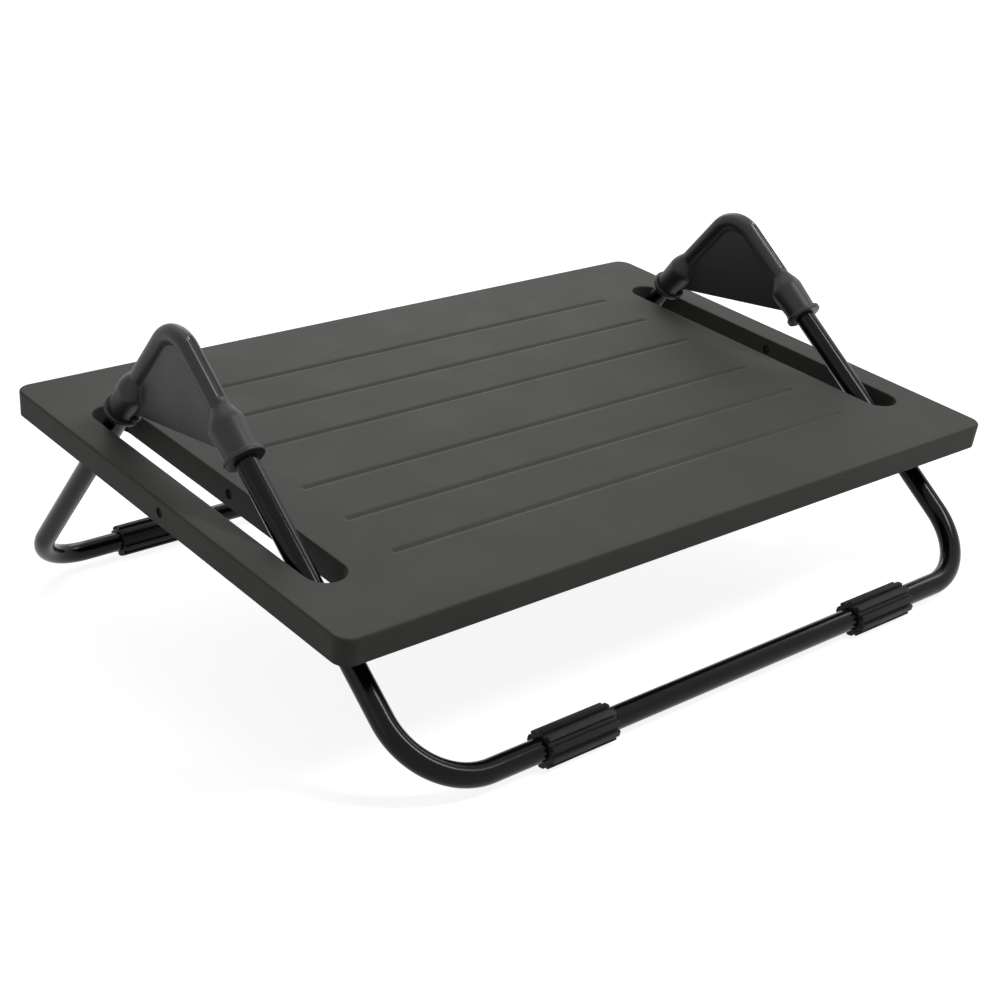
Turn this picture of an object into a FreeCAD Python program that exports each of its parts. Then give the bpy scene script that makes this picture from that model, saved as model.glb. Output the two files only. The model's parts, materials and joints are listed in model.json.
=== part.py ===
import FreeCAD, Part
import math
import os

# A rocking footrest: a moulded platform with two long slots sits on the legs of a tube frame.
# X runs along the platform, Y from the front to the rear and Z up. The origin is on the floor,
# under the point where the lines of the front and rear legs meet. Lengths are in millimetres
# and angles in degrees.

Vector = FreeCAD.Vector

# Platform: a tray that is open underneath
platform_length = 470.0
platform_depth = 306.0
platform_height = 14.5
platform_corner_radius = 9.0
platform_edge_radius = 1.2
platform_draft = 3.0
platform_skin = 3.0
platform_wall = 2.6
rest_tilt = 10.0

# Slots in the platform, one for each pair of legs
slot_margin = 19.0
slot_width = 22.0
slot_length = 216.0
slot_wall = 2.6
slot_edge_radius = 0.8

# Shallow grooves in the top face, in rows on each side of the middle
groove_rows = 3
groove_first_offset = 24.5
groove_pitch = 37.3
groove_half_length = 168.0
groove_depth = 0.8
groove_radius = 1.5
groove_slope = 26.0
groove_lip_above = 0.01

# Ribs under the platform
rib_thickness = 2.0
rib_gap_below = 2.0
long_rib_offsets = (40.0, 105.0)
cross_rib_pitch = 62.0
cross_ribs_each_side = 2

# Pins in the cross holes at the middle of the platform's two ends
pin_radius = 2.75
pin_clearance = 0.06
pin_recess = 0.8
pin_boss_radius = 5.0
pin_boss_length = 8.0

# Frame: two bent tubes whose legs meet in an upside-down V at each end
tube_radius = 6.0
tube_wall = 1.2
leg_outside_slot_centre = 2.0
leg_angle = 46.0
apex_above_bar = 183.5
bar_bend_radius = 40.0
running_clearance = 0.45

# Grips that join the front and rear legs
arm_radius = 5.3
arm_outset = 2.3
arm_bend_radius = 19.0
web_thickness = 3.2
web_above_socket_ends = 1.0
web_fillet = 1.6
socket_above_slot_ends = 68.8
socket_length = 32.0
socket_shoulder_length = 12.0
socket_shoulder_steps = 6
socket_shoulder_radius = 9.8
socket_end_radius = 8.8
socket_root_inset = 0.3
socket_depth = 24.0
socket_clearance = 0.05
collar_half_width = 11.2
collar_half_height = 10.8
collar_thickness = 3.0
collar_edge_radius = 0.9
recess_start = 15.0
recess_to_socket = 2.0
recess_width = 4.4
recess_depth = 1.2

# Snap buttons that hold the tube ends in the sockets
button_radius = 2.3
button_clearance = 0.1
button_from_end = 17.5
button_proud = 1.0
strip_width = 5.4
strip_thickness = 0.7
strip_clearance = 0.1
strip_before_button = 5.0
strip_after_button = 8.0

# Rubber foot sleeves on the two floor bars
foot_outer_radius = 9.75
foot_root_radius = 8.0
foot_length = 44.0
foot_rib_count = 10
foot_rib_width = 3.6
foot_clearance = 0.05
front_foot_to_bend = 30.5
rear_foot_to_bend = 22.0

# Sizes that follow from the ones above
FRONT = -1
REAR = 1
LEFT = -1
RIGHT = 1
sin_leg = math.sin(math.radians(leg_angle))
cos_leg = math.cos(math.radians(leg_angle))
tan_leg = sin_leg / cos_leg
bar_height = foot_outer_radius
apex_height = bar_height + apex_above_bar
leg_length = apex_above_bar / cos_leg
draft_inset = platform_height * math.tan(math.radians(platform_draft))
groove_rise_share = 1 - math.cos(math.radians(groove_slope))
groove_lip_radius = (groove_depth + groove_lip_above) / groove_rise_share - groove_radius
slot_centre = platform_length / 2 - slot_margin - slot_width / 2
slot_outer_face = slot_centre + slot_width / 2
slot_inner_face = slot_centre - slot_width / 2
pin_depth = platform_height / 2
leg_plane = slot_centre + leg_outside_slot_centre
bar_half = leg_plane - bar_bend_radius

# The slot's lower end edges slide on the outer sides of the legs. While the platform tilts, the
# axis through its four pins therefore swings the other way on an arc about a fixed line.
slot_end_arc = math.sqrt((slot_width / 2) ** 2 - leg_outside_slot_centre ** 2)
slot_reach = slot_length / 2 - slot_width / 2 + slot_end_arc
edge_below_pins = platform_height - pin_depth
swing_radius = edge_below_pins + slot_reach * tan_leg
wedge_term = slot_reach * math.cos(math.radians(2 * leg_angle)) / cos_leg - 2 * edge_below_pins * sin_leg
swing_height = apex_height + (tube_radius + running_clearance - wedge_term) / sin_leg

# Places along a leg, down from the point where the lines of the legs meet
socket_end = slot_reach / sin_leg - socket_above_slot_ends
socket_start = socket_end - socket_length
socket_shoulder = socket_start + socket_shoulder_length
tube_end = socket_end - socket_depth
recess_end = socket_start - recess_to_socket
recess_edge_drop = arm_radius - math.sqrt(arm_radius ** 2 - (recess_width / 2) ** 2)
recess_hollow = recess_depth - recess_edge_drop
recess_radius = ((recess_width / 2) ** 2 + recess_hollow ** 2) / (2 * recess_hollow)
web_low_along = socket_end - web_above_socket_ends / cos_leg
arm_bend_end = (arm_bend_radius - arm_outset) / tan_leg
arm_crown_height = apex_height + arm_outset / sin_leg - arm_bend_radius * (1 / sin_leg - 1)


def pin_axis_at(tilt):
    """Y and Z of the pins' axis when the platform's rear edge is raised by an angle."""
    turn = math.radians(tilt)
    return -swing_radius * math.sin(turn), swing_height - swing_radius * math.cos(turn)


def leg_point(along, side, outward=0.0, x=0.0):
    """Point at a distance down a leg's axis from the apex, moved outwards from the V."""
    y = side * (along * sin_leg + outward * cos_leg)
    z = apex_height - along * cos_leg + outward * sin_leg
    return Vector(x, y, z)


def leg_direction(side):
    """Unit vector down a leg."""
    return Vector(0, side * sin_leg, -cos_leg)


def outward_direction(side):
    """Unit vector square to a leg, pointing out of the V."""
    return Vector(0, side * cos_leg, sin_leg)


def arc_edge(start, middle, end):
    """Circular edge through three points."""
    return Part.Arc(start, middle, end).toShape()


def line_edge(start, end):
    """Straight edge between two points."""
    return Part.LineSegment(start, end).toShape()


def rounded_outline(length, depth, radius, level):
    """Rectangle with round corners, centred on the Z axis at a height."""
    half_diagonal = radius * math.sqrt(0.5)
    edges = []
    last = None
    first = None
    for turn_x, turn_y in ((1, 1), (-1, 1), (-1, -1), (1, -1)):
        centre = Vector(turn_x * (length / 2 - radius), turn_y * (depth / 2 - radius), level)
        on_side = centre + Vector(turn_x * radius, 0, 0)
        on_end = centre + Vector(0, turn_y * radius, 0)
        middle = centre + Vector(turn_x * half_diagonal, turn_y * half_diagonal, 0)
        start, end = (on_side, on_end) if turn_x == turn_y else (on_end, on_side)
        if last is not None:
            edges.append(line_edge(last, start))
        else:
            first = start
        edges.append(arc_edge(start, middle, end))
        last = end
    edges.append(line_edge(last, first))
    return Part.Wire(edges)


def tapered_tray(length, depth, radius, top, bottom):
    """Block with round corners whose sides lean inwards below the platform's top face."""
    sections = []
    for level in (top, bottom):
        inset = -level * draft_inset / platform_height
        outline = rounded_outline(length - 2 * inset, depth - 2 * inset, radius - inset, level)
        sections.append(outline)
    return Part.makeLoft(sections, True, True)


def slot_block(side, wall, top, bottom):
    """Upright block with round ends around one slot, larger than it by a wall."""
    width = slot_width + 2 * wall
    half_run = (slot_length - slot_width) / 2
    block = Part.makeBox(width, 2 * half_run, top - bottom, Vector(-width / 2, -half_run, bottom))
    for end in (-1, 1):
        block = block.fuse(Part.makeCylinder(width / 2, top - bottom, Vector(0, end * half_run, bottom)))
    block = block.removeSplitter()
    block.translate(Vector(side * slot_centre, 0, 0))
    return block


def groove_section():
    """Half of the groove's section in the X-Z plane: a round bottom that turns into a soft lip."""
    slope = math.radians(groove_slope)
    half_slope = slope / 2
    turn_x = groove_radius * math.sin(slope)
    turn_z = groove_radius * (1 - math.cos(slope)) - groove_depth
    lip_x = turn_x + groove_lip_radius * math.sin(slope)
    bottom = Vector(0, 0, -groove_depth)
    bottom_middle_z = groove_radius * (1 - math.cos(half_slope)) - groove_depth
    bottom_middle = Vector(groove_radius * math.sin(half_slope), 0, bottom_middle_z)
    turn = Vector(turn_x, 0, turn_z)
    lip_middle_z = groove_lip_above - groove_lip_radius * (1 - math.cos(half_slope))
    lip_middle = Vector(lip_x - groove_lip_radius * math.sin(half_slope), 0, lip_middle_z)
    lip = Vector(lip_x, 0, groove_lip_above)
    above = groove_depth
    edges = [
        Part.Arc(bottom, bottom_middle, turn).toShape(),
        Part.Arc(turn, lip_middle, lip).toShape(),
        Part.makeLine(lip, Vector(lip_x, 0, above)),
        Part.makeLine(Vector(lip_x, 0, above), Vector(0, 0, above)),
        Part.makeLine(Vector(0, 0, above), bottom),
    ]
    return Part.Face(Part.Wire(edges)), lip_x


def groove_cutter(offset):
    """Shallow groove along X with a round bottom, soft lips and round ends."""
    section, half_width = groove_section()
    end_x = groove_half_length - half_width
    cutter = None
    for end in (LEFT, RIGHT):
        round_end = section.revolve(Vector(0, 0, 0), Vector(0, 0, 1), 360)
        round_end.translate(Vector(end * end_x, offset, 0))
        side = section.copy()
        side.rotate(Vector(0, 0, 0), Vector(0, 0, 1), end * 90)
        side.translate(Vector(-end_x, offset, 0))
        run = side.extrude(Vector(2 * end_x, 0, 0))
        cutter = run.fuse(round_end) if cutter is None else cutter.fuse([run, round_end])
    return cutter


def platform_ribs():
    """Long and cross ribs as boxes that reach from the skin to just above the lower rim."""
    low = -platform_height + rib_gap_below
    height = -low
    ribs = []
    for offset in long_rib_offsets:
        for side in (-1, 1):
            corner = Vector(-platform_length / 2, side * offset - rib_thickness / 2, low)
            ribs.append(Part.makeBox(platform_length, rib_thickness, height, corner))
    for number in range(-cross_ribs_each_side, cross_ribs_each_side + 1):
        corner = Vector(number * cross_rib_pitch - rib_thickness / 2, -platform_depth / 2, low)
        ribs.append(Part.makeBox(rib_thickness, platform_depth, height, corner))
    return ribs


def pin_cylinder(radius, start_x, end_x):
    """Cylinder on the pins' axis in the platform's own frame."""
    start = Vector(min(start_x, end_x), 0, -pin_depth)
    return Part.makeCylinder(radius, abs(end_x - start_x), start, Vector(1, 0, 0))


def placed_on_legs(shape, tilt):
    """Moves a shape from the platform's own frame to its place on the legs at a tilt."""
    axis_y, axis_z = pin_axis_at(tilt)
    placed = shape.copy()
    placed.translate(Vector(0, 0, pin_depth))
    placed.rotate(Vector(0, 0, 0), Vector(1, 0, 0), tilt)
    placed.translate(Vector(0, axis_y, axis_z))
    return placed


def is_slot_mouth(edge):
    """Whether an edge lies in the top face, around one of the slots."""
    level = edge.BoundBox.ZMin > -0.01
    off_centre = abs(abs(edge.CenterOfMass.x) - slot_centre)
    return level and off_centre < slot_width / 2 + 0.01


def flat_platform():
    """The platform in its own frame, with the middle of its top face at the origin."""
    outer = tapered_tray(platform_length, platform_depth, platform_corner_radius, 0.0, -platform_height)
    top_edges = [edge for edge in outer.Edges if edge.BoundBox.ZMin > -0.01]
    outer = outer.makeFillet(platform_edge_radius, top_edges)
    hollow = tapered_tray(
        platform_length - 2 * platform_wall,
        platform_depth - 2 * platform_wall,
        platform_corner_radius - platform_wall,
        -platform_skin,
        -platform_height,
    )
    keep = platform_ribs()
    for side in (LEFT, RIGHT):
        keep.append(slot_block(side, slot_wall, 0.0, -platform_height))
        boss_start = side * slot_inner_face
        boss_end = side * (slot_inner_face - slot_wall - pin_boss_length)
        keep.append(pin_cylinder(pin_boss_radius, boss_start, boss_end))
    hollow = hollow.cut(keep)
    cutters = [hollow]
    for side in (LEFT, RIGHT):
        cutters.append(slot_block(side, 0.0, platform_skin, -platform_height - platform_skin))
        hole_start = side * (slot_inner_face - slot_wall - pin_boss_length + platform_wall)
        hole_end = side * platform_length / 2
        cutters.append(pin_cylinder(pin_radius + pin_clearance, hole_start, hole_end))
    for row in range(groove_rows):
        for side in (-1, 1):
            cutters.append(groove_cutter(side * (groove_first_offset + row * groove_pitch)))
    tray = outer.cut(cutters)
    return tray.makeFillet(slot_edge_radius, [edge for edge in tray.Edges if is_slot_mouth(edge)])


def flat_pin(side, place):
    """A cross pin in the platform's own frame, in the outer rim or in the slot's inner wall."""
    if place == "rim":
        start_x = slot_outer_face + pin_recess
        end_x = platform_length / 2 - draft_inset * pin_depth / platform_height - pin_recess
    else:
        start_x = slot_inner_face - pin_recess
        end_x = slot_inner_face - slot_wall - pin_boss_length + platform_wall + pin_clearance
    return pin_cylinder(pin_radius, side * start_x, side * end_x)


def frame_tube_path(side):
    """Centre line of a frame tube: down one leg, along the floor bar and up the other leg."""
    bend_start = leg_length - bar_bend_radius
    diagonal = bar_bend_radius * math.sqrt(0.5)
    edges = []
    edges.append(line_edge(leg_point(tube_end, side, x=leg_plane), leg_point(bend_start, side, x=leg_plane)))
    edges.append(arc_edge(
        leg_point(bend_start, side, x=leg_plane),
        leg_point(bend_start + diagonal, side, x=bar_half + diagonal),
        leg_point(leg_length, side, x=bar_half),
    ))
    edges.append(line_edge(leg_point(leg_length, side, x=bar_half), leg_point(leg_length, side, x=-bar_half)))
    edges.append(arc_edge(
        leg_point(leg_length, side, x=-bar_half),
        leg_point(bend_start + diagonal, side, x=-bar_half - diagonal),
        leg_point(bend_start, side, x=-leg_plane),
    ))
    edges.append(line_edge(leg_point(bend_start, side, x=-leg_plane), leg_point(tube_end, side, x=-leg_plane)))
    return Part.Wire(edges)


def round_bar(path, start, direction, radius):
    """Solid round bar along a path of lines and tangent arcs."""
    ring = Part.Wire(Part.Circle(start, direction, radius).toShape())
    return path.makePipeShell([ring], True, True)


def button_hole(end, side, radius):
    """Cylinder for a snap button, square to a leg and pointing into the V."""
    start = leg_point(tube_end + button_from_end, side, x=end * leg_plane)
    return Part.makeCylinder(radius, 2 * socket_shoulder_radius, start, outward_direction(side) * -1)


def frame_tube(side):
    """Bent steel tube with a floor bar and two legs, with a button hole near each end."""
    path = frame_tube_path(side)
    start = leg_point(tube_end, side, x=leg_plane)
    down = leg_direction(side)
    tube = round_bar(path, start, down, tube_radius)
    tube = tube.cut(round_bar(path, start, down, tube_radius - tube_wall))
    for end in (LEFT, RIGHT):
        tube = tube.cut(button_hole(end, side, button_radius + button_clearance))
    return tube


def grip_arms():
    """Round bar a little outside one leg's line, over the apex and down along the other leg."""
    crown = Vector(0, 0, arm_crown_height)
    front_end = leg_point(socket_shoulder, FRONT, arm_outset)
    front_bend = leg_point(arm_bend_end, FRONT, arm_outset)
    rear_bend = leg_point(arm_bend_end, REAR, arm_outset)
    edges = [
        line_edge(front_end, front_bend),
        arc_edge(front_bend, crown, rear_bend),
        line_edge(rear_bend, leg_point(socket_shoulder, REAR, arm_outset)),
    ]
    return round_bar(Part.Wire(edges), front_end, leg_direction(FRONT), arm_radius)


def grip_web():
    """Plate between the arms, with a level lower edge."""
    corners = [
        Vector(0, 0, arm_crown_height),
        leg_point(arm_bend_end, FRONT, arm_outset),
        leg_point(web_low_along, FRONT),
        leg_point(web_low_along, REAR),
        leg_point(arm_bend_end, REAR, arm_outset),
        Vector(0, 0, arm_crown_height),
    ]
    plate = Part.Face(Part.makePolygon(corners)).extrude(Vector(web_thickness, 0, 0))
    plate.translate(Vector(-web_thickness / 2, 0, 0))
    return plate


def web_joint_edges(body):
    """Edges where the two flat faces of the web run into the arms and sockets."""
    joints = []
    for face in body.Faces:
        flat = isinstance(face.Surface, Part.Plane)
        if flat and abs(abs(face.CenterOfMass.x) - web_thickness / 2) < 0.01:
            lowest = face.BoundBox.ZMin
            joints.extend(edge for edge in face.Edges if edge.BoundBox.ZMax > lowest + 0.01)
    return joints


def socket_body(side):
    """Sleeve that swells from the arm over a soft shoulder and tapers a little to its end."""
    root_radius = arm_radius - socket_root_inset
    rings = []
    for step in range(socket_shoulder_steps + 1):
        share = step / socket_shoulder_steps
        rise = share * share * (3 - 2 * share)
        middle = leg_point(socket_start + share * socket_shoulder_length, side, arm_outset * (1 - rise))
        radius = root_radius + (socket_shoulder_radius - root_radius) * rise
        rings.append(Part.Wire(Part.Circle(middle, leg_direction(side), radius).toShape()))
    taper = Part.makeCone(
        socket_shoulder_radius,
        socket_end_radius,
        socket_end - socket_shoulder,
        leg_point(socket_shoulder, side),
        leg_direction(side),
    )
    return Part.makeLoft(rings, True, False).fuse(taper)


def socket_collar(side):
    """Oval flange at a socket's end, whose wide ends stop the platform."""
    centre = leg_point(socket_end - collar_thickness, side)
    wide = Vector(collar_half_width, 0, 0)
    high = outward_direction(side) * collar_half_height
    ellipse = Part.Ellipse(centre + wide, centre + high, centre)
    face = Part.Face(Part.Wire(ellipse.toShape()))
    collar = face.extrude(leg_direction(side) * collar_thickness)
    return collar.makeFillet(collar_edge_radius, [edge for edge in collar.Edges if edge.isClosed()])


def arm_recess(side):
    """Long shallow hollow with round ends in the outer face of an arm."""
    middle = arm_outset + arm_radius - recess_depth + recess_radius
    first = leg_point(recess_start, side, middle)
    last = leg_point(recess_end, side, middle)
    length = recess_end - recess_start
    hollow = Part.makeCylinder(recess_radius, length, first, leg_direction(side))
    for centre in (first, last):
        hollow = hollow.fuse(Part.makeSphere(recess_radius, centre))
    return hollow


def grip(end):
    """Moulded V that joins a front leg to a rear leg."""
    body = grip_arms().fuse([grip_web(), socket_body(FRONT), socket_body(REAR)])
    body = body.makeFillet(web_fillet, web_joint_edges(body))
    body = body.fuse([socket_collar(FRONT), socket_collar(REAR)])
    cutters = []
    for side in (FRONT, REAR):
        bore_start = leg_point(tube_end - socket_clearance, side)
        bore_radius = tube_radius + socket_clearance
        bore_length = socket_depth + 2 * socket_clearance
        cutters.append(Part.makeCylinder(bore_radius, bore_length, bore_start, leg_direction(side)))
        cutters.append(arm_recess(side))
    body = body.cut(cutters)
    body.translate(Vector(end * leg_plane, 0, 0))
    for side in (FRONT, REAR):
        body = body.cut(button_hole(end, side, button_radius + button_clearance))
    return body


def snap_button(end, side):
    """Bent spring strip inside a tube end, with a button that stands out through the socket."""
    bore = tube_radius - tube_wall - strip_clearance
    strip_outer = math.sqrt(bore ** 2 - (strip_width / 2) ** 2)
    strip_inner = strip_outer - strip_thickness
    button_along = tube_end + button_from_end
    open_end = button_along - strip_before_button
    bend_start = button_along + strip_after_button

    def at(along, outward):
        return leg_point(along, side, outward, end * leg_plane - strip_width / 2)

    edges = [
        line_edge(at(open_end, -strip_outer), at(bend_start, -strip_outer)),
        arc_edge(at(bend_start, -strip_outer), at(bend_start + strip_outer, 0), at(bend_start, strip_outer)),
        line_edge(at(bend_start, strip_outer), at(open_end, strip_outer)),
        line_edge(at(open_end, strip_outer), at(open_end, strip_inner)),
        line_edge(at(open_end, strip_inner), at(bend_start, strip_inner)),
        arc_edge(at(bend_start, strip_inner), at(bend_start + strip_inner, 0), at(bend_start, -strip_inner)),
        line_edge(at(bend_start, -strip_inner), at(open_end, -strip_inner)),
        line_edge(at(open_end, -strip_inner), at(open_end, -strip_outer)),
    ]
    strip = Part.Face(Part.Wire(edges)).extrude(Vector(strip_width, 0, 0))
    button_start = leg_point(button_along, side, -strip_inner, end * leg_plane)
    button_length = socket_shoulder_radius + button_proud - strip_inner
    inward = outward_direction(side) * -1
    button = Part.makeCylinder(button_radius, button_length, button_start, inward)
    tip = button_start + inward * button_length
    tip_edges = [edge for edge in button.Edges if edge.CenterOfMass.distanceToPoint(tip) < 0.01]
    button = button.makeFillet(button_proud, tip_edges)
    return strip.fuse(button)


def foot_sleeve(centre_x, side):
    """Rubber sleeve on a floor bar with ribs along it, one of them straight down."""
    bar_y = leg_point(leg_length, side).y
    start = Vector(centre_x - foot_length / 2, bar_y, bar_height)
    along_x = Vector(1, 0, 0)
    sleeve = Part.makeCylinder(foot_root_radius, foot_length, start, along_x)
    ribs = []
    for number in range(foot_rib_count):
        corner = Vector(start.x, -foot_rib_width / 2, tube_radius)
        rib = Part.makeBox(foot_length, foot_rib_width, foot_outer_radius, corner)
        rib.rotate(Vector(0, 0, 0), along_x, 180 + number * 360 / foot_rib_count)
        rib.translate(Vector(0, bar_y, bar_height))
        ribs.append(rib)
    sleeve = sleeve.fuse(ribs)
    sleeve = sleeve.common(Part.makeCylinder(foot_outer_radius, foot_length, start, along_x))
    bore = Part.makeCylinder(tube_radius + foot_clearance, foot_length, start, along_x)
    return sleeve.cut(bore).removeSplitter()


def whole_footrest(tilt):
    """Every piece by name, with the platform at a tilt."""
    pieces = {
        "platform": placed_on_legs(flat_platform(), tilt),
        "front_frame_tube": frame_tube(FRONT),
        "rear_frame_tube": frame_tube(REAR),
    }
    feet = {"front": (FRONT, front_foot_to_bend), "rear": (REAR, rear_foot_to_bend)}
    for end_name, end in (("left", LEFT), ("right", RIGHT)):
        pieces[end_name + "_grip"] = grip(end)
        for place in ("rim", "slot"):
            pieces[end_name + "_" + place + "_pin"] = placed_on_legs(flat_pin(end, place), tilt)
        for side_name, (side, foot_to_bend) in feet.items():
            corner_name = side_name + "_" + end_name
            foot_centre = bar_half - foot_to_bend - foot_length / 2
            pieces[corner_name + "_foot"] = foot_sleeve(end * foot_centre, side)
            pieces[corner_name + "_snap_button"] = snap_button(end, side)
    return pieces


if __name__ == "__main__":
    os.makedirs("parts", exist_ok=True)
    for name, shape in whole_footrest(rest_tilt).items():
        shape.exportStep("parts/" + name + ".step")
        print(name, "solids", len(shape.Solids), "volume", round(shape.Volume, 1), "valid", shape.isValid())
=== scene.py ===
# %% [markdown]
# # A rocking footrest, dressed in Blender
# The CAD pieces are loaded first. The view transform is Standard, which shows a colour
# as it is written in its material.

# %% Load the CAD pieces
import json
import math
import bmesh
import bpy
import numpy as np
from mathutils import Matrix, Vector


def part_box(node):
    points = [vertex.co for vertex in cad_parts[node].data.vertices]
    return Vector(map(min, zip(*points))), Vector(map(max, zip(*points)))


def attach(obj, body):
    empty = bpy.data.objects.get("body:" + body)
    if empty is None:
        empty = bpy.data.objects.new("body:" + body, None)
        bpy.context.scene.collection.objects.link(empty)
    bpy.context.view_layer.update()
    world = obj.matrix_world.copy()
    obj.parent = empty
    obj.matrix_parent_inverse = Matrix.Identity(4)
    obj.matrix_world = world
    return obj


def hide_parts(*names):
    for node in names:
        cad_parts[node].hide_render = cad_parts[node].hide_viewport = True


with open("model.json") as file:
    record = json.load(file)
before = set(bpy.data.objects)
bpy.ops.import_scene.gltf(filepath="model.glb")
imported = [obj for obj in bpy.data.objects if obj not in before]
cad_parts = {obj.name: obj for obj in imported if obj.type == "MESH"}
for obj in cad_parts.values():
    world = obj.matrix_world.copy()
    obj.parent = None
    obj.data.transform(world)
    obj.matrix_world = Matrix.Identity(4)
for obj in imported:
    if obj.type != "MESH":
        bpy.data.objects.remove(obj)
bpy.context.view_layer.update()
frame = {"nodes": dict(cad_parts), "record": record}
scene = bpy.context.scene
scene.view_settings.view_transform = "Standard"

# %% [markdown]
# ## Sizes
# The new pieces must sit exactly where the CAD pieces are, so their places are measured from
# the boxes of those pieces. Only the sizes that a box can't give are written here. One
# millimetre is a named value, so that the sizes below read as they would on a drawing.

# %% Measure the frame
mm = 0.001
LEFT, RIGHT = -1, 1
FRONT, REAR = -1, 1
leg_angle = math.radians(46.0)
sin_leg, cos_leg, tan_leg = math.sin(leg_angle), math.cos(leg_angle), math.tan(leg_angle)


def box_of(node):
    """Lowest and highest corner of a CAD piece as two arrays."""
    low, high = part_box(node)
    return np.array(low), np.array(high)


foot_low, foot_high = box_of("rear_right_foot")
grip_low, grip_high = box_of("right_grip")
bar_y, bar_z = (foot_low[1:] + foot_high[1:]) / 2
leg_plane = (grip_low[0] + grip_high[0]) / 2
apex_z = bar_z + bar_y / tan_leg
leg_length = bar_y / sin_leg
print("bars at y", round(bar_y, 4), "legs at x", round(leg_plane, 4))
print("apex at z", round(apex_z, 4))

# %% [markdown]
# ## From a grid of points to a piece
# Every new piece is a grid of points with rows and columns, worked out as one array. Four
# neighbouring points make a face. A direction that is closed, like the way round a tube, also
# joins its last points to its first ones. Points that fall together are merged, and the
# normals are turned outwards. Some faces of a piece may wear a second material. The print shows
# how many edges are open: none means that the piece is a closed solid.

# %% Helper that makes a piece
merge_distance, speck = 0.002 * mm, 0.001 * mm


def quads_of(rows, columns, close_rows, close_columns):
    """Corner numbers of the faces of a grid.

    Formula: a point's number is row x columns + column, and a face joins the points at rows i
    and i + 1 and at columns j and j + 1, counted round again from 0 where a direction is closed.
    """
    i = np.arange(rows if close_rows else rows - 1)[:, None]
    j = np.arange(columns if close_columns else columns - 1)[None, :]
    next_i, next_j = (i + 1) % rows, (j + 1) % columns
    row, next_row = i * columns, next_i * columns
    corners = (row + j, row + next_j, next_row + next_j, next_row + j)
    return np.stack(corners, axis=-1).reshape(-1, 4)


def piece_from(node, points, faces, material, sharp_angle=40.0, second=None, second_faces=None):
    """Adds the object that stands for a CAD piece, from points and the corners of its faces.

    It is named after the piece. The faces that second_faces marks wear the second material.
    """
    name = node.title()
    mesh = bpy.data.meshes.new(name)
    mesh.from_pydata(points, [], faces)
    if second is not None:
        mesh.polygons.foreach_set("material_index", second_faces.astype(np.int32))
    shape = bmesh.new()
    shape.from_mesh(mesh)
    bmesh.ops.remove_doubles(shape, verts=shape.verts, dist=merge_distance)
    bmesh.ops.dissolve_degenerate(shape, edges=shape.edges, dist=speck)
    bmesh.ops.recalc_face_normals(shape, faces=shape.faces)
    open_edges = sum(len(edge.link_faces) != 2 for edge in shape.edges)
    shape.to_mesh(mesh)
    shape.free()
    mesh.shade_smooth()
    mesh.set_sharp_from_angle(angle=math.radians(sharp_angle))
    mesh.materials.append(material)
    if second is not None:
        mesh.materials.append(second)
    piece = bpy.data.objects.new(name, mesh)
    scene.collection.objects.link(piece)
    bodies = frame["record"]["behaviour"]["bodies"]
    body = next(body for body, nodes in bodies.items() if node in nodes)
    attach(piece, body)
    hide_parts(node)
    print(name, len(mesh.polygons), "faces,", open_edges, "open edges")


# %% [markdown]
# ## Shared effects for the materials
# A shader node group is like a function: it is built once and placed in several materials with
# its own values. The first one gives moulded plastic and rubber their fine spark-eroded grain.
# It puts out a height for the bumps and a tone that lets the colour drift a little over the
# piece. The second one gives soft patches, as where hands and shoes have touched a surface and
# its gloss differs.

# %% Group for moulded grain
def group_sockets(group, inputs, outputs):
    """Adds number inputs with their defaults, and number outputs, to a node group."""
    number = "NodeSocketFloat"
    for name, default in inputs.items():
        socket = group.interface.new_socket(name, in_out="INPUT", socket_type=number)
        socket.default_value = default
    for name in outputs:
        group.interface.new_socket(name, in_out="OUTPUT", socket_type=number)


def noise_at(tree, scale_socket, detail, roughness):
    """Noise on Object coordinates that are multiplied by the value of a socket."""
    place = tree.nodes.new("ShaderNodeTexCoord")
    stretch = tree.nodes.new("ShaderNodeVectorMath")
    stretch.operation = "SCALE"
    noise = tree.nodes.new("ShaderNodeTexNoise")
    noise.inputs["Scale"].default_value = 1.0
    noise.inputs["Detail"].default_value = detail
    noise.inputs["Roughness"].default_value = roughness
    tree.links.new(place.outputs["Object"], stretch.inputs[0])
    tree.links.new(scale_socket, stretch.inputs["Scale"])
    tree.links.new(stretch.outputs[0], noise.inputs["Vector"])
    return noise.outputs["Fac"]


def range_of(tree, value, from_low, from_high, to_low, to_high):
    """Value stretched from one range to another and kept inside it."""
    node = tree.nodes.new("ShaderNodeMapRange")
    limits = (from_low, from_high, to_low, to_high)
    for name, limit in zip(("From Min", "From Max", "To Min", "To Max"), limits):
        node.inputs[name].default_value = limit
    tree.links.new(value, node.inputs["Value"])
    return node.outputs["Result"]


moulded_grain = bpy.data.node_groups.new("Moulded grain", "ShaderNodeTree")
grain_inputs = {"Grains per metre": 1500.0, "Drifts per metre": 14.0}
group_sockets(moulded_grain, grain_inputs, ("Height", "Tone"))
grain_in = moulded_grain.nodes.new("NodeGroupInput")
grain_out = moulded_grain.nodes.new("NodeGroupOutput")
grain = noise_at(moulded_grain, grain_in.outputs["Grains per metre"], 2.0, 0.55)
drift = noise_at(moulded_grain, grain_in.outputs["Drifts per metre"], 3.0, 0.5)
height = range_of(moulded_grain, grain, 0.35, 0.65, 0.0, 1.0)
tone = range_of(moulded_grain, drift, 0.3, 0.7, 0.0, 1.0)
moulded_grain.links.new(height, grain_out.inputs["Height"])
moulded_grain.links.new(tone, grain_out.inputs["Tone"])
print("group", moulded_grain.name)

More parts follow.
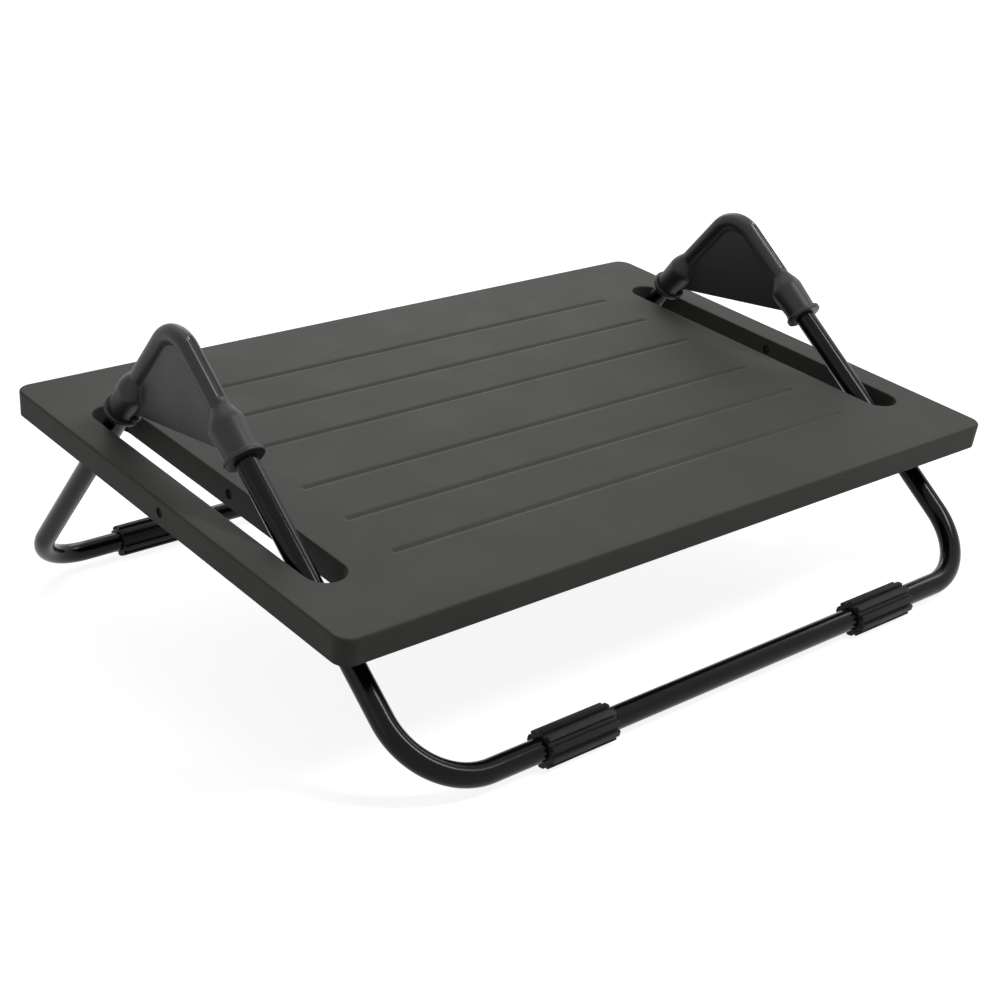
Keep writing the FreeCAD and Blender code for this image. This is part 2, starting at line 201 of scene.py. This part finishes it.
# %% Group for soft patches of gloss
gloss_patches = bpy.data.node_groups.new("Gloss patches", "ShaderNodeTree")
group_sockets(gloss_patches, {"Patches per metre": 30.0}, ("Mask",))
patch_in = gloss_patches.nodes.new("NodeGroupInput")
patch_out = gloss_patches.nodes.new("NodeGroupOutput")
patch = noise_at(gloss_patches, patch_in.outputs["Patches per metre"], 4.0, 0.6)
mask = range_of(gloss_patches, patch, 0.45, 0.62, 0.0, 1.0)
gloss_patches.links.new(mask, patch_out.inputs["Mask"])
print("group", gloss_patches.name)

# %% [markdown]
# ## Materials
# Each material is one Principled BSDF. Its colour runs between two close shades by the grain's
# tone, its roughness between two values by the gloss patches, and a Bump node turns the grain's
# height into small normals. A function builds all of them, because they differ only in values.

# %% Function that builds a material
def finish_of(name, dark, light, smooth, rough, grains, bump_depth, specular):
    """Material whose colour and roughness each run between two values over the piece."""
    material = bpy.data.materials.new(name)
    material.use_nodes = True
    tree = material.node_tree
    skin = tree.nodes["Principled BSDF"]
    grain_node = tree.nodes.new("ShaderNodeGroup")
    grain_node.node_tree = moulded_grain
    grain_node.inputs["Grains per metre"].default_value = grains
    patch_node = tree.nodes.new("ShaderNodeGroup")
    patch_node.node_tree = gloss_patches
    shades = tree.nodes.new("ShaderNodeMix")
    shades.data_type = "RGBA"
    shades.inputs["A"].default_value = (*dark, 1.0)
    shades.inputs["B"].default_value = (*light, 1.0)
    tree.links.new(grain_node.outputs["Tone"], shades.inputs["Factor"])
    tree.links.new(shades.outputs["Result"], skin.inputs["Base Color"])
    roughness = range_of(tree, patch_node.outputs["Mask"], 0.0, 1.0, rough, smooth)
    tree.links.new(roughness, skin.inputs["Roughness"])
    bump = tree.nodes.new("ShaderNodeBump")
    bump.inputs["Strength"].default_value = 1.0
    bump.inputs["Distance"].default_value = bump_depth
    tree.links.new(grain_node.outputs["Height"], bump.inputs["Height"])
    tree.links.new(bump.outputs["Normal"], skin.inputs["Normal"])
    skin.inputs["Specular IOR Level"].default_value = specular
    return material


# %% [markdown]
# ## The finishes of the footrest
# The platform is a charcoal moulding with an even, matt grain. The grips are darker and a
# little smoother, because hands carry the footrest by them, and the hollow along each arm is
# polished. The frame is steel tube under glossy black powder paint, whose surface has the
# slight waviness of orange peel. The feet are dull rubber. The pins and the spring buttons are
# blackened steel. The four numbers after the two shades are the roughness of the smoothest and
# the roughest spots, the grains per metre and the depth of the grain. The last is the strength
# of the gloss, which is low so that the white surroundings don't veil the dark colours.

# %% Make the finishes
platform_plastic = finish_of(
    "platform plastic", (0.062, 0.062, 0.0575), (0.066, 0.066, 0.061),
    0.58, 0.61, 1500.0, 0.02 * mm, 0.12)
grip_plastic = finish_of(
    "grip plastic", (0.028, 0.028, 0.029), (0.032, 0.032, 0.032),
    0.36, 0.42, 1900.0, 0.012 * mm, 0.33)
recess_polish = finish_of(
    "recess polish", (0.020, 0.020, 0.020), (0.024, 0.024, 0.024),
    0.18, 0.22, 900.0, 0.003 * mm, 0.5)
frame_paint = finish_of(
    "frame paint", (0.005, 0.005, 0.005), (0.007, 0.007, 0.007),
    0.14, 0.18, 600.0, 0.002 * mm, 0.15)
foot_rubber = finish_of(
    "foot rubber", (0.007, 0.007, 0.007), (0.011, 0.011, 0.011),
    0.50, 0.62, 1700.0, 0.02 * mm, 0.22)
dark_steel = finish_of(
    "dark steel", (0.003, 0.003, 0.003), (0.005, 0.005, 0.005),
    0.55, 0.7, 2500.0, 0.004 * mm, 0.1)
for node, piece in frame["nodes"].items():
    carried = platform_plastic if node == "platform" else dark_steel
    piece.data.materials.clear()
    piece.data.materials.append(carried)
print("finishes made:", ", ".join(material.name for material in bpy.data.materials))

# %% [markdown]
# ## Points along a leg
# The legs meet in an upside-down V whose top would lie at the apex. A place on a leg is given
# by its distance down the leg from the apex and by its distance outwards from the V. Front and
# rear legs mirror each other, so one function serves both.

# %% Helper for places on a leg
def on_leg(along, outward, x, side):
    """Points from their distance down a leg, their distance out of the V and their X.

    Formula: y = side x (along sin a + outward cos a) and z = apex - along cos a + outward sin a,
    with a for the angle between a leg and the upright.
    """
    along, outward, x = np.broadcast_arrays(along, outward, x)
    y = side * (along * sin_leg + outward * cos_leg)
    z = apex_z - along * cos_leg + outward * sin_leg
    return np.stack([x, y, z], axis=-1)


# %% [markdown]
# ## Frame tubes
# Each frame tube is a round steel tube, bent twice: down one leg, through a bend of 40 mm
# radius, along the floor bar and up the other leg. It is made by carrying a circle along that
# path. Because the path lies in the plane of its legs, one direction of the circle is always
# square to that plane and the other turns with the path. Rows run along the outside of the
# tube and back along its inside, so that its wall has its real thickness.

# %% Make the frame tubes
tube_radius, tube_wall = 6.0 * mm, 1.2 * mm
bend_radius = 40.0 * mm
tube_end = 56.94 * mm
bar_half = leg_plane - bend_radius


def tube_path(arc_rows=40):
    """Centre line of a tube in the plane of its legs, and its turning angle at each row.

    Formula: with angle t from 0 at the left leg to 180 degrees at the right leg, a bend's
    centre line is its middle plus the bend radius times (-cos t, sin t), in the directions X
    and down the leg. The legs are straight runs at t = 0 and t = 180 degrees.
    """
    first = np.linspace(0.0, math.pi / 2, arc_rows)
    last = np.linspace(math.pi / 2, math.pi, arc_rows)
    turn = np.concatenate([[0.0], first, last, [math.pi]])
    middle = np.repeat([-bar_half, bar_half], arc_rows + 1)
    x = middle - bend_radius * np.cos(turn)
    along = leg_length - bend_radius + bend_radius * np.sin(turn)
    along[[0, -1]] = tube_end
    return x, along, turn


def frame_tube(node, side, columns=64):
    """Round tube with its real wall along the path of tube_path.

    Formula: a point is the centre line plus the radius times (cos p in the direction
    (-cos t, sin t) of the bend, and sin p straight out of the plane of the legs).
    """
    x, along, turn = tube_path()
    round_angle = np.linspace(0.0, 2 * math.pi, columns, endpoint=False)[None, :]
    forward, backward = slice(None), slice(None, None, -1)
    shells = []
    for radius, order in ((tube_radius, forward), (tube_radius - tube_wall, backward)):
        in_plane, out_of_plane = radius * np.cos(round_angle), radius * np.sin(round_angle)
        around_x = x[order, None] - in_plane * np.cos(turn[order, None])
        down = along[order, None] + in_plane * np.sin(turn[order, None])
        shells.append(on_leg(down, out_of_plane, around_x, side))
    points = np.concatenate(shells)
    faces = quads_of(len(points), columns, True, True)
    piece_from(node, points.reshape(-1, 3), faces, frame_paint)


frame_tube("front_frame_tube", FRONT)
frame_tube("rear_frame_tube", REAR)

# %% [markdown]
# ## Grips
# A grip is one moulding: a round arm runs up one leg, over a soft bend and down the other, a
# thin web fills the V below it, and each arm swells into a socket with an oval collar that
# takes the tube. The arm lies a little outside the leg's line. Its section square to that line
# is a keyhole: a circle with the web as a tongue on the inner side, and a small hollow round
# where they meet. Only the circle's radius and place and the tongue's length change along the
# arm, so the whole half of a grip is one grid of keyholes. The other half is its mirror image,
# and the two meet in the plane between them. A shallow hollow runs along the outer face of each
# arm. It is part of the same grid, and its faces wear the polished material.

# %% Sizes of a grip
arm_radius, arm_outset = 5.3 * mm, 2.3 * mm
leg_bend_radius = 19.0 * mm - arm_outset
web_half, web_fillet, web_edge = 1.6 * mm, 1.6 * mm, 0.5 * mm
web_low_z = 138.0 * mm
socket_start, socket_shoulder, socket_end = 48.94 * mm, 60.94 * mm, 80.94 * mm
socket_root_radius, socket_shoulder_radius, socket_end_radius = 5.0 * mm, 9.8 * mm, 8.8 * mm
socket_bore_radius = 6.05 * mm
collar_thickness, collar_edge = 3.0 * mm, 0.9 * mm
collar_half = np.array([11.2, 10.8]) * mm
recess_start, recess_end = 15.0 * mm, 46.94 * mm
recess_half, recess_depth = 2.2 * mm, 1.2 * mm
recess_hollow = recess_depth - arm_radius + math.sqrt(arm_radius ** 2 - recess_half ** 2)
recess_radius = (recess_half ** 2 + recess_hollow ** 2) / (2 * recess_hollow)
print("socket", round((socket_end - socket_start) / mm, 2), "mm long")

# %% Profile of an arm and its socket
def smooth_step(value):
    """Smooth rise from 0 to 1. Formula: 3 v^2 - 2 v^3, with v kept between 0 and 1."""
    v = np.clip(value, 0.0, 1.0)
    return v * v * (3 - 2 * v)


def sleeve(along):
    """Radius of the arm and its socket down the leg, and how far outwards their middle lies.

    Formula: the radius is the arm's, or the socket's where that is larger. The socket swells by
    a smooth step over its shoulder and then tapers in a straight line to its end. By the same
    smooth step its middle moves from the arm's middle to the leg's line.
    """
    swell = smooth_step((along - socket_start) / (socket_shoulder - socket_start))
    swollen = socket_root_radius + (socket_shoulder_radius - socket_root_radius) * swell
    taper = (along - socket_shoulder) / (socket_end - socket_shoulder)
    tapered = socket_shoulder_radius + (socket_end_radius - socket_shoulder_radius) * taper
    radius = np.maximum(arm_radius, np.where(along < socket_shoulder, swollen, tapered))
    return radius, arm_outset * (1 - swell)


def rows_along():
    """Distances down the leg for the rows between the bend and the collar.

    The rows stand close where the shape changes fast: at the lower end of the recess and over
    the socket's shoulder.
    """
    first = leg_bend_radius / tan_leg
    near_end, past_end = recess_end - 3 * mm, recess_end + 3 * mm
    past_shoulder = socket_shoulder + 2 * mm
    last = socket_end - collar_thickness
    runs = (
        np.linspace(first, near_end, 30)[:-1],
        np.linspace(near_end, past_end, 25)[:-1],
        np.linspace(past_end, past_shoulder, 22)[:-1],
        np.linspace(past_shoulder, last, 16),
    )
    return np.concatenate(runs)


print(len(rows_along()), "rows between the bend and the collar")

# %% Keyhole section
circle_columns, fillet_columns, flat_columns, end_columns = 64, 8, 12, 6
crowding = 1.35
corner_power = 4


def keyhole(radius, outset, reach, edge):
    """Half of a keyhole for each row, as X and the distance inwards from the leg's line.

    Formula: the circle runs to the angle where a hollow round of the fillet's radius touches
    both it and the web's flat face. The fillet, the flat face and the tongue's end follow, each
    cut off at the reach of the tongue. The tongue's end is a flat curve with round corners, in
    which x and d, as shares of the half width and the edge's radius, add up to 1 when both are
    raised to the corner power. Inside the circle the end follows the circle instead. All this
    is measured from the circle's middle, and moved outwards at the end. The columns crowd
    towards the outer face of the circle, where the recess is cut.
    """
    radius, outset, edge = radius[:, None], outset[:, None], edge[:, None]
    reach = reach[:, None] + outset
    fillet_x = web_half + web_fillet
    fillet_d = np.sqrt((radius + web_fillet) ** 2 - fillet_x ** 2)
    touch_d = fillet_d * radius / (radius + web_fillet)
    touch_angle = np.arctan2(fillet_x, -fillet_d)
    reach = np.maximum(reach, touch_d)
    share = np.linspace(0.0, 1.0, circle_columns)[None, :] ** crowding
    angle = touch_angle * share
    circle_x, circle_d = radius * np.sin(angle), -radius * np.cos(angle)
    fillet_end = np.minimum(fillet_d, reach)
    step = np.linspace(0.0, 1.0, fillet_columns + 1)[None, 1:]
    d = touch_d + (fillet_end - touch_d) * step
    x = fillet_x - np.sqrt(np.maximum(web_fillet ** 2 - (fillet_d - d) ** 2, 0.0))
    flat_end = np.maximum(reach - edge, fillet_end)
    flat_step = np.linspace(0.0, 1.0, flat_columns + 1)[None, 1:]
    flat_d = fillet_end + (flat_end - fillet_end) * flat_step
    flat_x = np.broadcast_to(x[:, -1:], flat_d.shape)
    end_step = np.linspace(0.0, 1.0, end_columns + 1)[None, 1:]
    end_x = flat_x[:, -1:] * (1 - end_step)
    bow = (reach - flat_d[:, -1:]) * (1 - (1 - end_step) ** corner_power) ** (1 / corner_power)
    inside = np.sqrt(np.maximum(radius ** 2 - end_x ** 2, 0.0))
    end_d = np.maximum(flat_d[:, -1:] + bow, inside)
    all_x = np.concatenate([circle_x, x, flat_x, end_x], axis=1)
    all_d = np.concatenate([circle_d, d, flat_d, end_d], axis=1)
    return all_x, all_d - outset


def with_both_sides(x, d):
    """Whole closed section from its half at positive X, without repeating the points at X = 0."""
    whole_x = np.concatenate([x, -x[:, -2:0:-1]], axis=1)
    whole_d = np.concatenate([d, d[:, -2:0:-1]], axis=1)
    return whole_x, whole_d


sample_sizes = (arm_radius, arm_outset, 30 * mm, web_edge)
sample = keyhole(*(np.array([size]) for size in sample_sizes))
print("a keyhole has", with_both_sides(*sample)[0].size, "points")

# %% [markdown]
# The rows of a half grip follow each other without a gap: over the bend, down the arm and the
# socket, over the collar, back up through the bore and across its bottom. In the bend the
# keyholes fan out from the bend's middle, so there the tongue always reaches that point. The
# recess is cut into the finished keyholes, by moving the points that it reaches inwards.

# %% Rows of a half grip
web_edge_fade = 2 * mm


def recess_cut(x, d, along):
    """Distances inwards after the shallow recess in the arm's outer face is cut, and where it is.

    Formula: the recess is the hollow that a ball leaves when it runs along the arm. A point's
    distance from the ball's line, squared and taken from the ball's radius squared, gives the
    square of how far the hollow lies below the line.
    """
    beyond = np.maximum(np.maximum(recess_start - along, along - recess_end), 0.0)
    middle = arm_outset + arm_radius - recess_depth + recess_radius
    below = np.sqrt(np.maximum(recess_radius ** 2 - x ** 2 - beyond ** 2, 0.0))
    hollow = below - middle
    cut = (hollow > d) & (below > 0) & (d < -arm_outset)
    return np.where(cut, hollow, d), cut


def bend_rows(side, rows=34):
    """Keyholes over the bend, from its top to where the straight arm starts.

    Formula: at angle t from the upright, a point at distance d inwards from the leg's line is
    (side sin t, cos t) times the line's bend radius less d, from the bend's middle.
    """
    turn = np.linspace(0.0, math.pi / 2 - leg_angle, rows)[:-1, None]
    sizes = (arm_radius, arm_outset, leg_bend_radius, 0.0)
    x, d = with_both_sides(*keyhole(*(np.full(rows - 1, size) for size in sizes)))
    along = leg_bend_radius / tan_leg - leg_bend_radius * (math.pi / 2 - leg_angle - turn)
    d, cut = recess_cut(x, d, along)
    middle_z = apex_z - leg_bend_radius / sin_leg
    y = side * (leg_bend_radius - d) * np.sin(turn)
    z = middle_z + (leg_bend_radius - d) * np.cos(turn)
    return np.stack([x, y, z], axis=-1), cut


def arm_rows(side):
    """Keyholes down the straight arm and the socket, with the recess in the outer face."""
    along = rows_along()
    to_mirror = along * tan_leg
    to_low_edge = (apex_z - web_low_z - along * cos_leg) / sin_leg
    edge = web_edge * smooth_step((to_mirror - to_low_edge) / web_edge_fade)
    x, d = with_both_sides(*keyhole(*sleeve(along), np.minimum(to_mirror, to_low_edge), edge))
    d, cut = recess_cut(x, d, along[:, None])
    return on_leg(along[:, None], -d, x, side), cut


def collar_rows(side, columns_x, columns_d, edge_rows=6):
    """Rings over the collar, into the bore and to the middle of its bottom.

    Formula: a ring is the last section's outline scaled to a half width and a half height. The
    collar's two edges are quarter circles.
    """
    base = np.hypot(columns_x, columns_d)
    unit_x, unit_d = columns_x / base, columns_d / base
    quarter = np.linspace(0.0, math.pi / 2, edge_rows)
    inset = collar_edge * (1 - np.sin(quarter))
    top = socket_end - collar_thickness
    upper = np.stack([top + collar_edge * (1 - np.cos(quarter)), inset], axis=1)
    lower = np.stack([socket_end - collar_edge * (1 - np.cos(quarter[::-1])), inset[::-1]], axis=1)
    edges = np.concatenate([upper, lower])
    half_x, half_d = collar_half[0] - edges[:, 1], collar_half[1] - edges[:, 1]
    along = np.concatenate([edges[:, 0], [socket_end, tube_end, tube_end]])
    half_x = np.concatenate([half_x, [socket_bore_radius, socket_bore_radius, 0.0]])
    half_d = np.concatenate([half_d, [socket_bore_radius, socket_bore_radius, 0.0]])
    return on_leg(along[:, None], -unit_d * half_d[:, None], unit_x * half_x[:, None], side)


def half_grip(side):
    """Grid of points of a grip's front or rear half, around X = 0, and where its recess is."""
    bend, bend_cut = bend_rows(side)
    arm, arm_cut = arm_rows(side)
    along = rows_along()[-1:]
    x, d = with_both_sides(*keyhole(*sleeve(along), np.zeros(1), np.zeros(1)))
    collar = collar_rows(side, x, d)
    cut = np.concatenate([bend_cut, arm_cut, np.zeros(collar.shape[:2], dtype=bool)])
    return np.concatenate([bend, arm, collar]), cut


# %% Make the grips
mirror_tolerance = 0.004 * mm
grip_sharp_angle = 30.0


def grip(node, end):
    """Both halves of a grip at one end of the footrest, without the faces in the mirror plane."""
    halves = [half_grip(FRONT), half_grip(REAR)]
    rows, columns = halves[0][1].shape
    faces = quads_of(rows, columns, False, True)
    points = np.concatenate([half.reshape(-1, 3) for half, cut in halves])
    cut = np.concatenate([cut.reshape(-1) for half, cut in halves])
    faces = np.concatenate([faces, faces + rows * columns])
    in_mirror = (np.abs(points[faces][..., 1]) < mirror_tolerance).all(axis=1)
    points = points + np.array([end * leg_plane, 0.0, 0.0])
    faces = faces[~in_mirror]
    polished = cut[faces].all(axis=1)
    piece_from(node, points, faces, grip_plastic, grip_sharp_angle, recess_polish, polished)


grip("left_grip", LEFT)
grip("right_grip", RIGHT)

# %% [markdown]
# ## Feet
# The feet are rubber sleeves, pushed on to the floor bars, with ten ribs along them. Their
# section is a circle whose radius rises at each rib. It is carried straight along the bar, round
# a small edge at each end, and back through the bore. One rib points straight down, so that the
# sleeve stands on it.

# %% Make the feet
foot_outer, foot_root, foot_bore = 9.75 * mm, 8.0 * mm, 6.05 * mm
rib_count, rib_half, rib_flank = 10, 1.8 * mm, 0.5 * mm
foot_edge = 0.5 * mm


def foot_radius(angle):
    """Radius of the ribbed section at an angle from straight down.

    Formula: the root radius, raised by a smooth step where the sideways distance to the
    nearest rib's middle is less than half the rib's width.
    """
    pitch = 2 * math.pi / rib_count
    off_rib = np.abs((angle + pitch / 2) % pitch - pitch / 2)
    sideways = foot_outer * np.sin(off_rib)
    rise = smooth_step((rib_half - sideways) / rib_flank + 0.5)
    return foot_root + (foot_outer - foot_root) * rise


def foot(node, columns=320, edge_rows=5):
    """Ribbed sleeve on the floor bar, placed by the box of its CAD piece.

    Formula: each end's edge is a quarter circle, over which a ring's distance from the end
    grows as 1 - cos q and the loss of its radius shrinks as 1 - sin q.
    """
    low, high = box_of(node)
    centre = (low + high) / 2
    angle = np.linspace(0.0, 2 * math.pi, columns, endpoint=False)[None, :]
    quarter = np.linspace(0.0, math.pi / 2, edge_rows)
    from_end = foot_edge * (1 - np.cos(quarter))
    loss = foot_edge * (1 - np.sin(quarter))
    ring = foot_radius(angle) - np.concatenate([loss, loss[::-1]])[:, None]
    bore = np.full((2, columns), foot_bore)
    radius = np.concatenate([ring, bore])
    x = np.concatenate([low[0] + from_end, (high[0] - from_end)[::-1], [high[0], low[0]]])
    x = np.broadcast_to(x[:, None], radius.shape)
    y = centre[1] + radius * np.sin(angle)
    z = bar_z - radius * np.cos(angle)
    points = np.stack([x, y, z], axis=-1)
    faces = quads_of(len(points), columns, True, True)
    piece_from(node, points.reshape(-1, 3), faces, foot_rubber)


for front_or_rear in ("front", "rear"):
    for left_or_right in ("left", "right"):
        foot(front_or_rear + "_" + left_or_right + "_foot")

# %% [markdown]
# ## Camera
# The camera's place and angles were fitted to the straight edges of the footrest in the
# photograph. A small lens shift moves the picture on the film without turning the camera.

# %% Set the camera
camera_place = (-0.652706, -0.756410, 0.407818)
turn_right, look_down, lean = 38.86662, 16.754666, 1.333479
camera = bpy.data.cameras.new("camera")
camera.sensor_width = 36.0
camera.sensor_fit = "HORIZONTAL"
camera.lens = 64.8125
camera.shift_x = 0.066591
camera.shift_y = -0.089287
camera_object = bpy.data.objects.new("camera", camera)
scene.collection.objects.link(camera_object)
turn = (
    Matrix.Rotation(math.radians(-turn_right), 4, "Z")
    @ Matrix.Rotation(math.radians(90 - look_down), 4, "X")
    @ Matrix.Rotation(math.radians(-lean), 4, "Z")
)
camera_object.matrix_world = Matrix.Translation(camera_place) @ turn
scene.camera = camera_object
print("camera at", tuple(round(v, 3) for v in camera_object.location))

# %% [markdown]
# ## Floor and backdrop
# The photograph has a plain white background. The floor is one pale grey square, lit like the
# footrest, so that it carries a soft shadow. For rays from the camera, and for mirror-like and
# see-through rays, it also glows, which lifts it to white without putting more light on the
# object. The glow alone stays a little below white, so that the shadow still shows. The world
# behind it is plain white for the same rays.

# %% Lay the floor
floor_size, floor_grey, floor_glow = 2.2, 0.5, 0.89


def background_rays(tree):
    """1 for camera, glossy and transmission rays, and 0 for all others."""
    path = tree.nodes.new("ShaderNodeLightPath")
    total = path.outputs["Is Camera Ray"]
    for name in ("Is Glossy Ray", "Is Transmission Ray"):
        larger = tree.nodes.new("ShaderNodeMath")
        larger.operation = "MAXIMUM"
        tree.links.new(total, larger.inputs[0])
        tree.links.new(path.outputs[name], larger.inputs[1])
        total = larger.outputs[0]
    return total


bpy.ops.mesh.primitive_plane_add(size=floor_size)
floor = bpy.context.object
floor.name = "floor"
floor_white = bpy.data.materials.new("floor white")
floor_white.use_nodes = True
floor_tree = floor_white.node_tree
floor_skin = floor_tree.nodes["Principled BSDF"]
floor_skin.inputs["Base Color"].default_value = (floor_grey, floor_grey, floor_grey, 1.0)
floor_skin.inputs["Roughness"].default_value = 1.0
floor_skin.inputs["Specular IOR Level"].default_value = 0.0
floor_skin.inputs["Emission Color"].default_value = (1.0, 1.0, 1.0, 1.0)
glow = range_of(floor_tree, background_rays(floor_tree), 0.0, 1.0, 0.0, floor_glow)
floor_tree.links.new(glow, floor_skin.inputs["Emission Strength"])
floor.data.materials.append(floor_white)
print("floor laid")

# %% [markdown]
# ## Light
# The photograph is lit softly and mostly from above: the top of the platform is clearly
# brighter than its front. A large area lamp hangs over the footrest, a little behind it, and
# two more light it from the rear and from the right. A small strip at the front right draws
# the bright lines along the bends and legs, and a faint lamp at the left lightens the webs and
# the skirt there. The world adds an even, weak light.

# %% Hang the lamps
sky_light = 0.08
aim_point = Vector((0.0, 0.0, 0.1))
world = bpy.data.worlds.new("world")
scene.world = world
world.use_nodes = True
sky = world.node_tree.nodes["Background"]
sky.inputs["Color"].default_value = (1.0, 1.0, 1.0, 1.0)
level = range_of(world.node_tree, background_rays(world.node_tree), 0.0, 1.0, sky_light, 1.0)
world.node_tree.links.new(level, sky.inputs["Strength"])


def area_lamp(name, place, size, power, length=None):
    """Square lamp, or a strip of another length, that points at the middle of the footrest."""
    lamp = bpy.data.lights.new(name, "AREA")
    lamp.size = size
    lamp.energy = power
    if length:
        lamp.shape = "RECTANGLE"
        lamp.size_y = length
    lamp_object = bpy.data.objects.new(name, lamp)
    scene.collection.objects.link(lamp_object)
    lamp_object.location = place
    aim = aim_point - Vector(place)
    lamp_object.rotation_euler = aim.to_track_quat("-Z", "Y").to_euler()


area_lamp("overhead lamp", (0.0, 0.5, 1.7), 1.3, 6.0)
area_lamp("left lamp", (-1.6, -0.2, 0.5), 0.8, 1.0)
area_lamp("rear lamp", (1.1, 1.4, 1.2), 0.9, 6.5)
area_lamp("front lamp", (0.65, -0.98, 1.42), 0.32, 11.0, 0.5)
area_lamp("right lamp", (2.3, -0.1, 1.65), 0.7, 7.0)
print("lamps hung")
